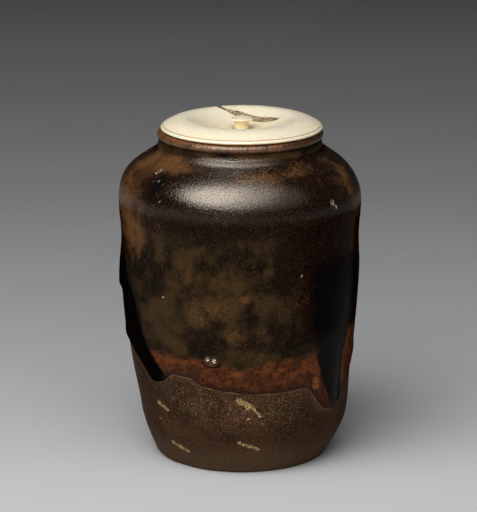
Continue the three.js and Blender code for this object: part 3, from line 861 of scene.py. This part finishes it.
def glaze_zones(azimuths, radii, z, rest, shade, lit, painted_light, rim):
    """Where each colour of the glaze lies, and where it is dull, pitted, worn or has painted
    glints.
    """
    turned = turn_between(azimuths, 0)
    aside = np.abs(turned)
    body_noise = layered(rest, 7, 41)
    small_noise = layered(rest, 3, 45)
    band_top = np.interp(turned, *np.transpose(BAND_TOP))
    band = smooth((band_top + 0.9 * body_noise + 0.6 * small_noise - z) / 4.6 + 0.5)
    # The lip, and the black in the groove under it: pooled glaze, with painted shade under the
    # lip
    outer = radii > 20.6
    lip = smooth((z - 86.85) / 0.35)
    neck_pool_and_shade = smooth((z + 0.15 * small_noise - 85.75) / 0.45) * outer * (1 - lip)
    # Dark at the right, on the crown and at the left, and lighter again in amber patches
    amber = patches(azimuths, z, AMBER)
    right = window(turned, 14, 24, 98, 26) * smooth((z - 33) / 7)
    crown = smooth((z - 63.5) / 5) * (1 - 0.25 * smooth((z - 80) / 3))
    left = bump(turn_between(azimuths, -80) / 20) * smooth((z - 34) / 6)
    dark = np.clip(0.95 * right + 0.85 * crown + 0.75 * left + 0.1 * body_noise, 0, 1)
    dark = np.clip(dark + patches(azimuths, z, DARK_PATCH) - 0.5 * amber, 0, 1)
    # Near black runs, and the dark rim under the blister, which is painted shade
    run = np.maximum(shade * smooth((66 - z) / 8 + 0.6), 0.8 * rim)
    run = np.maximum(run, patches(azimuths, z, BLACK_PATCHES))
    # Dull below the shoulder, at the sides, in the neck and on the left runs
    sides = window(aside, 32, 40, 140, 30)
    edges = window(aside, 50, 35, 135, 30)
    dull = smooth((74.8 - z) / 5.5) * (0.93 + 0.07 * np.maximum(sides, 0.8 * right))
    dull = np.maximum(dull, 0.8 * edges)
    dull = np.clip(dull + 0.95 * neck_pool_and_shade + 0.6 * bump((z - 84.4) / 1.4) * outer, 0, 1)
    dull = dull * (1 - 0.95 * lit)
    dull = np.maximum(dull, window(turned, -125, 12, -38, 6) * smooth(1.2 * shade))
    # Painted glints, pitted and worn places
    painted_glint = 0.95 * painted_light
    for azimuth, height, width in PAINTED_GLINTS:
        away = np.hypot(*offset(azimuths, radii, z, azimuth, height)) / width
        painted_glint = np.maximum(painted_glint, bump(away))
    pitted = np.maximum(np.maximum(lip, 0.3 * bump((z - 84.9) / 1.3) * outer), painted_glint)
    worn = window(z, 73, 3, 84, 2) * bump(turned / 45) + 0.25 * smooth((z - 60) / 10)
    return {
        "band": band, "run": run, "dark": dark, "amber": amber, "neck_pool_and_shade": neck_pool_and_shade, "lip": lip,
        "orange": patches(azimuths, z, ORANGE), "dull": dull, "pitted": pitted, "painted_glint": painted_glint,
        "worn": worn,
    }


def build_glaze():
    azimuths = around(504)
    angle = np.radians(azimuths)
    face, back = glaze_rows(azimuths)
    profile = profile_at(face)
    radii, z = profile[:2]
    rest = laid(profile, angle)
    apart = np.where(z > 45, NO_EDGE, edge_distance(azimuths, face, radii))
    apart[0] = 0
    extra, shade = run_parts(azimuths, z)
    raised, *spots = blister_parts(azimuths, radii, z)
    skin = glaze_skin(face, z, apart, extra, rest) + raised - pit_depth(azimuths, radii, z)
    grid = np.vstack([laid(profile, angle, skin), laid(profile_at(back), angle, SUNK)])
    grid[..., 0] += sway(grid[..., 2])
    zones = glaze_zones(azimuths, radii, z, rest, shade, *spots) | {"edge": apart}
    fields = {key: np.vstack([values, 0 * back]) for key, values in zones.items()}
    faces = quads(*grid.shape[:2], wrap=True)
    points = grid.reshape(-1, 3)
    make("jar_glaze", points, faces, GLAZED, "jar", ["glaze_coat"], fields)


# Lid
LID_SHIFT = 0.385
LID_RADIUS = 21.54
SPIGOT = 18.15
SPIGOT_FACE = 86.65
ROUND = 0.35
FLANGE = 88.95
FLANGE_ROUND = 0.2
LINE_FROM = (21.08, 89.74)
LINE = (20.98, 89.82)
LINE_TO = (20.92, 89.91)
RIM = (20.7, 90.05)
CREST = (15, 91.65)
DISH = 88.7
HOLE = 1.15
HOLE_FLOOR = 87.33
CANAL_DEPTH = 0.72
TOP_LINE = np.vstack([
    straight((HOLE, DISH), (3, DISH), steps(6, first=True)),
    bezier((3, DISH), CREST, ((0.38, 0), (0.8, 1)), 60),
    bezier(CREST, RIM, ((0.57, 0), (0.85, 0.76)), 36),
])
# The streak's middle line and half width, as shares of the lid's radius
CANAL = np.array([
    (-0.3, 1.03, 0.018), (-0.296, 0.9, 0.02), (-0.288, 0.76, 0.022), (-0.272, 0.65, 0.026),
    (-0.229, 0.601, 0.024), (-0.181, 0.571, 0.027), (-0.14, 0.553, 0.034), (-0.096, 0.528, 0.05),
    (-0.037, 0.495, 0.053), (0.029, 0.463, 0.041), (0.086, 0.431, 0.034), (0.137, 0.386, 0.046),
    (0.197, 0.339, 0.06), (0.269, 0.298, 0.061), (0.337, 0.26, 0.057), (0.395, 0.226, 0.044),
    (0.457, 0.187, 0.009),
]) * LID_RADIUS


def canal_path(count):
    """Points, half widths and sideways directions along the streak's middle line."""
    at = np.linspace(0, len(CANAL) - 1, count)
    index = np.clip(at.astype(int), 0, len(CANAL) - 2)
    t = (at - index)[:, None]
    padded = np.vstack([2 * CANAL[0] - CANAL[1], CANAL, 2 * CANAL[-1] - CANAL[-2]])
    p0, p1, p2, p3 = (padded[index + n] for n in range(4))
    second = 2 * p0 - 5 * p1 + 4 * p2 - p3
    third = 3 * p1 - p0 - 3 * p2 + p3
    curve = 0.5 * (2 * p1 + (p2 - p0) * t + second * t * t + third * t**3)
    along = np.gradient(curve[:, :2], axis=0)
    along /= np.linalg.norm(along, axis=1)[:, None]
    half = lerp(p1[:, 2], p2[:, 2], t[:, 0])
    return curve[:, :2], half, np.stack([-along[:, 1], along[:, 0]], axis=1)


def streak_distance(points):
    """How far inside the streak a point is, from above, in mm: positive inside."""
    middle, half, _ = canal_path(240)
    best = np.full(points.shape[:-1], -1e9)
    for (x, y), width in zip(middle, half):
        best = np.maximum(best, width - np.hypot(points[..., 0] - x, points[..., 1] - y))
    return best


def underside(gap, middle, reach, counts):
    """Outline of the spigot and the flange from below, moved off the lid by a gap."""
    radius, face, top = SPIGOT + gap, SPIGOT_FACE - gap, FLANGE - gap
    return np.vstack([
        straight((middle, face), (radius - ROUND, face), steps(counts[0], first=True)),
        rounded(radius, face, ROUND, counts[1]),
        straight((radius, face + ROUND), (radius, top), counts[2]),
        straight((radius, top), (reach, top), counts[3]),
    ])


def build_lid():
    azimuths = around(420)
    under = underside(0, CLOSING, LID_RADIUS - FLANGE_ROUND, (10, 4, 3, 4))
    under = np.vstack([under, rounded(LID_RADIUS, FLANGE, FLANGE_ROUND, 4)])
    rim = [
        bezier((LID_RADIUS, FLANGE + FLANGE_ROUND), LINE_FROM, ((0, 0.5), (0.5, 0.8)), 8),
        bezier(LINE_FROM, LINE, ((0.9, 0.1), (0.95, 0.2)), 4),
        bezier(LINE, LINE_TO, ((0.1, 0.6), (0.3, 0.9)), 4),
        bezier(LINE_TO, RIM, ((0.4, 0.5), (0.7, 0.8)), 4),
    ]
    hole = [
        straight((HOLE, DISH), (HOLE, HOLE_FLOOR), 3),
        straight((HOLE, HOLE_FLOOR), (0.4, HOLE_FLOOR), 1),
    ]
    profile = np.vstack([under, *rim, TOP_LINE[-2::-1], *hole])
    edge_from = len(under)
    top_from = edge_from + sum(len(part) for part in rim)
    row = np.arange(len(profile))[:, None]
    on_edge = (row >= edge_from) & (row < top_from)
    is_top = (row >= edge_from) & (row < top_from + len(TOP_LINE) - 1)
    grid = spun(profile, azimuths)
    z = grid[..., 2].copy()
    radius = radius_of(grid)
    # The groove that holds the canal's crust
    inside = streak_distance(grid)
    cut = smooth(inside / 0.22 + 0.5)
    grid[..., 2] = np.maximum(z - CANAL_DEPTH * cut * is_top, np.minimum(z, FLANGE + 0.15))
    # Worn unevenness of the turned faces, and the rim a little lower beside the notch
    upper = (row >= top_from - 4) & is_top
    grid[..., 2] += 0.03 * (layered(grid, 9, 61, 2) - 1.1) * upper
    worn = bump(turn_between(azimuths, -158) / 22)
    grid[..., 2] -= 0.22 * worn * upper * smooth((radius - 15) / 6)
    # Line round the edge, a lighter flange that is painted light, and stains beside the crust
    # and round the knob
    line = bump((z - LINE[1]) / 0.1) * on_edge
    # Painted light: the flange's side is coloured lighter and less warm to stand for light on it
    flange = smooth((LINE[1] - z) / 0.15) * (z > FLANGE - 0.05) * (row < top_from)
    beside = 0.7 * smooth((inside + 0.5) / 0.5) * (1 - cut) * is_top
    seam = 0.75 * bump((radius - 2.35) / 0.35) * (np.abs(z - DISH) < 0.05)
    warm = 0.25 + 0.65 * smooth((14 - radius) / 8) - 0.3 * flange
    grid[..., 0] += LID_SHIFT
    start, end = (LID_SHIFT, 0, SPIGOT_FACE), (LID_SHIFT, 0, HOLE_FLOOR)
    fields = {"line": line, "stain": np.maximum(beside, seam), "warm": warm, "painted_light": flange}
    make_turned("lid_ivory", grid, start, end, IVORY, "lid", ["lid_disc"], fields)


def top_height(radius):
    """Height of the lid's upper face."""
    edge = np.array([LINE, (21.3, 89.5), (21.5, 89.2)])
    return np.interp(radius, *np.vstack([TOP_LINE[:, :2], edge]).T)


def build_crust():
    count, across = 240, 17
    middle, half, sideways = canal_path(count)
    share = np.linspace(-1, 1, across)
    place = middle[:, None] + sideways[:, None] * half[:, None, None] * share[:, None]
    radius = radius_of(place)
    held = np.minimum(radius, LID_RADIUS - 0.14)
    place = place * (held / np.maximum(radius, 1e-6))[..., None]
    flat = np.dstack([place, np.zeros((count, across))])
    lumps = 0.06 * layered(flat, 0.9, 71) + 0.03 * rough(flat, 0.4, 75)
    height = top_height(held)
    surface = np.minimum(height - 0.09 + lumps - 0.05 * share**2, height - 0.01)
    bottom = np.minimum(height - CANAL_DEPTH + 0.1, surface - 0.2)
    points = np.array([np.dstack([place, surface]), np.dstack([place, bottom])]).reshape(-1, 3)
    points[:, 0] += LID_SHIFT
    top, low = np.arange(2 * count * across).reshape(2, count, across)
    faces = [
        *sheet(top[1:, :-1], top[1:, 1:], top[:-1, 1:], top[:-1, :-1]),
        *sheet(low[:-1, :-1], low[:-1, 1:], low[1:, 1:], low[1:, :-1]),
        *sheet(top[1:, 0], low[1:, 0], low[:-1, 0], top[:-1, 0]),
        *sheet(low[:-1, -1], low[1:, -1], top[1:, -1], top[:-1, -1]),
        *sheet(low[0, :-1], low[0, 1:], top[0, 1:], top[0, :-1]),
        *sheet(top[-1, 1:], low[-1, 1:], low[-1, :-1], top[-1, :-1]),
    ]
    # Dark rims, and darker ends
    level = np.ones((2, count, across))
    along = np.linspace(0, 1, count)[:, None]
    tip = smooth((along - 0.9) / 0.08) + smooth((0.3 - along) / 0.12) * 0.75
    rim = smooth((np.abs(share) - 0.72) / 0.28)
    fields = {"rim": rim * level, "tip": np.clip(tip, 0, 1) * level}
    make("lid_crust", points, faces, CRUST, "lid", ["lid_canal_core"], fields)


def build_knob():
    tenon, tenon_foot = HOLE - 0.05, HOLE_FLOOR + 0.04
    seat, top = DISH + 0.05, 91.55
    foot, waist, edge, face = 2.12, 1.87, 2.93, 2.8
    profile = np.vstack([
        straight((0.3, tenon_foot), (tenon, tenon_foot), steps(2, first=True)),
        straight((tenon, tenon_foot), (tenon, seat), 3),
        straight((tenon, seat), (foot - 0.1, seat), 2),
        rounded(foot, seat, 0.1, 3),
        bezier((foot, seat + 0.1), (waist, seat + 0.35), ((0, 0.5), (0.9, 0.6)), 5),
        bezier((waist, seat + 0.35), (edge, top - 0.4), ((0, 0.6), (0.1, 0.95)), 22),
        bezier((edge, top - 0.4), (edge, top - 0.13), ((0, 0.5), (0, 0.5)), 3),
        arc((face, top - 0.13), 0.13, 0.13, 0, 90, 5),
        # Fine ring and low boss on top
        straight((face, top), (2.52, top), 3),
        bezier((2.52, top), (2.4, top - 0.12), ((0.5, 0), (1, 0.5)), 4),
        bezier((2.4, top - 0.12), (2.28, top), ((0, 0.5), (0.5, 1)), 4),
        straight((2.28, top), (1.3, top), 4),
        bezier((1.3, top), (0.25, top + 0.14), ((0.3, 0.1), (0.6, 1)), 8),
    ])
    grid = spun(profile, around(120))
    z = grid[..., 2].copy()
    grid[..., 2] += np.where(z > 89, 0.012 * rough(grid, 1.2, 81) - 0.012, 0)
    radius = radius_of(grid)
    ring = bump((radius - 2.4) / 0.13) * (z > top - 0.25)
    seam = bump((z - seat) / 0.2) * (radius > 1.5)
    stain = np.clip(0.45 * ring + 0.7 * seam, 0, 1)
    warm = smooth((top - 0.3 - z) / 0.5)
    grid[..., 0] += LID_SHIFT
    start, end = (LID_SHIFT, 0, tenon_foot), (LID_SHIFT, 0, top + 0.14)
    fields = {"stain": stain, "warm": warm}
    make_turned("lid_peg", grid, start, end, KNOB, "lid", ["lid_knob"], fields)


def build_lining():
    gap, paper, reach, middle = 0.05, 0.15, 21.14, 0.8
    counts = (26, 5, 8, 8)
    outer = underside(gap + paper, middle, reach, counts)
    inner = underside(gap, middle, reach, (6, 4, 3, 3))
    grid = spun(np.vstack([outer, inner[::-1]]), around(220))
    wrinkled = grid[: counts[0] + 1]
    wrinkled[..., 2] += 0.04 * np.abs(layered(wrinkled, 5, 91))
    grid[..., 0] += LID_SHIFT
    start, end = (LID_SHIFT, 0, outer[0, 1]), (LID_SHIFT, 0, inner[0, 1])
    make_turned("lid_gold", grid, start, end, GOLD, "lid", ["lid_gold_lining"], {})


build_clay()
build_glaze()
build_lid()
build_crust()
build_knob()
build_lining()


# Studio, in metres
FLOOR_REACH = 5
LAMP_TARGET = (0, 0, 0.075)
SOFTBOXES = [
    # name, azimuth, elevation, width, height, brightness
    ("wide_softbox", -3, 52, 2.57, 1.5, 0.4),
    ("middle_softbox", -18, 54.5, 1.5, 1.5, 1.62),
    ("key_softbox", -31.5, 51.5, 0.84, 1, 3),
]
SENSOR = 36
FOCAL_SHARE = 2788 / 512
CAMERA_TILT = 14.87
CAMERA_DISTANCE = 0.75
CAMERA_TARGET = (-0.00046, 0, 0.05355)
FILL = 0.025


def build_floor():
    mesh = bpy.data.meshes.new("floor")
    low, high = -FLOOR_REACH, FLOOR_REACH
    corners = [(low, low, 0), (high, low, 0), (high, high, 0), (low, high, 0)]
    mesh.from_pydata(corners, [], [(0, 1, 2, 3)])
    mesh.materials.append(floor_material())
    link("floor", mesh)


def aimed(name, data, target, azimuth, elevation, distance):
    """Places a lamp or a camera at a distance from its target, and turns it to the target."""
    a, e = math.radians(azimuth), math.radians(elevation)
    back = Vector((math.sin(a) * math.cos(e), -math.cos(a) * math.cos(e), math.sin(e)))
    thing = link(name, data)
    thing.location = Vector(target) + back * distance
    thing.rotation_mode = "QUATERNION"
    thing.rotation_quaternion = (-back).to_track_quat("-Z", "Y")
    return thing


def build_softbox(name, azimuth, elevation, wide, tall, radiance):
    lamp = bpy.data.lights.new(name, "AREA")
    lamp.shape = "ELLIPSE"
    lamp.size = wide
    lamp.size_y = tall
    lamp.energy = radiance * math.pi * (math.pi / 4 * wide * tall)
    aimed(name, lamp, LAMP_TARGET, azimuth, elevation, 1)


def build_camera():
    data = bpy.data.cameras.new("camera")
    data.sensor_width = SENSOR
    data.lens = FOCAL_SHARE * SENSOR
    data.clip_start = 0.05
    camera = aimed("camera", data, CAMERA_TARGET, 0, CAMERA_TILT, CAMERA_DISTANCE)
    scene.camera = camera


build_floor()
for softbox in SOFTBOXES:
    build_softbox(*softbox)
build_camera()

world = bpy.data.worlds.new("studio")
world.use_nodes = True
background = world.node_tree.nodes["Background"]
background.inputs["Color"].default_value = (1, 1, 1, 1)
background.inputs["Strength"].default_value = FILL
scene.world = world
scene.view_settings.view_transform = "Standard"
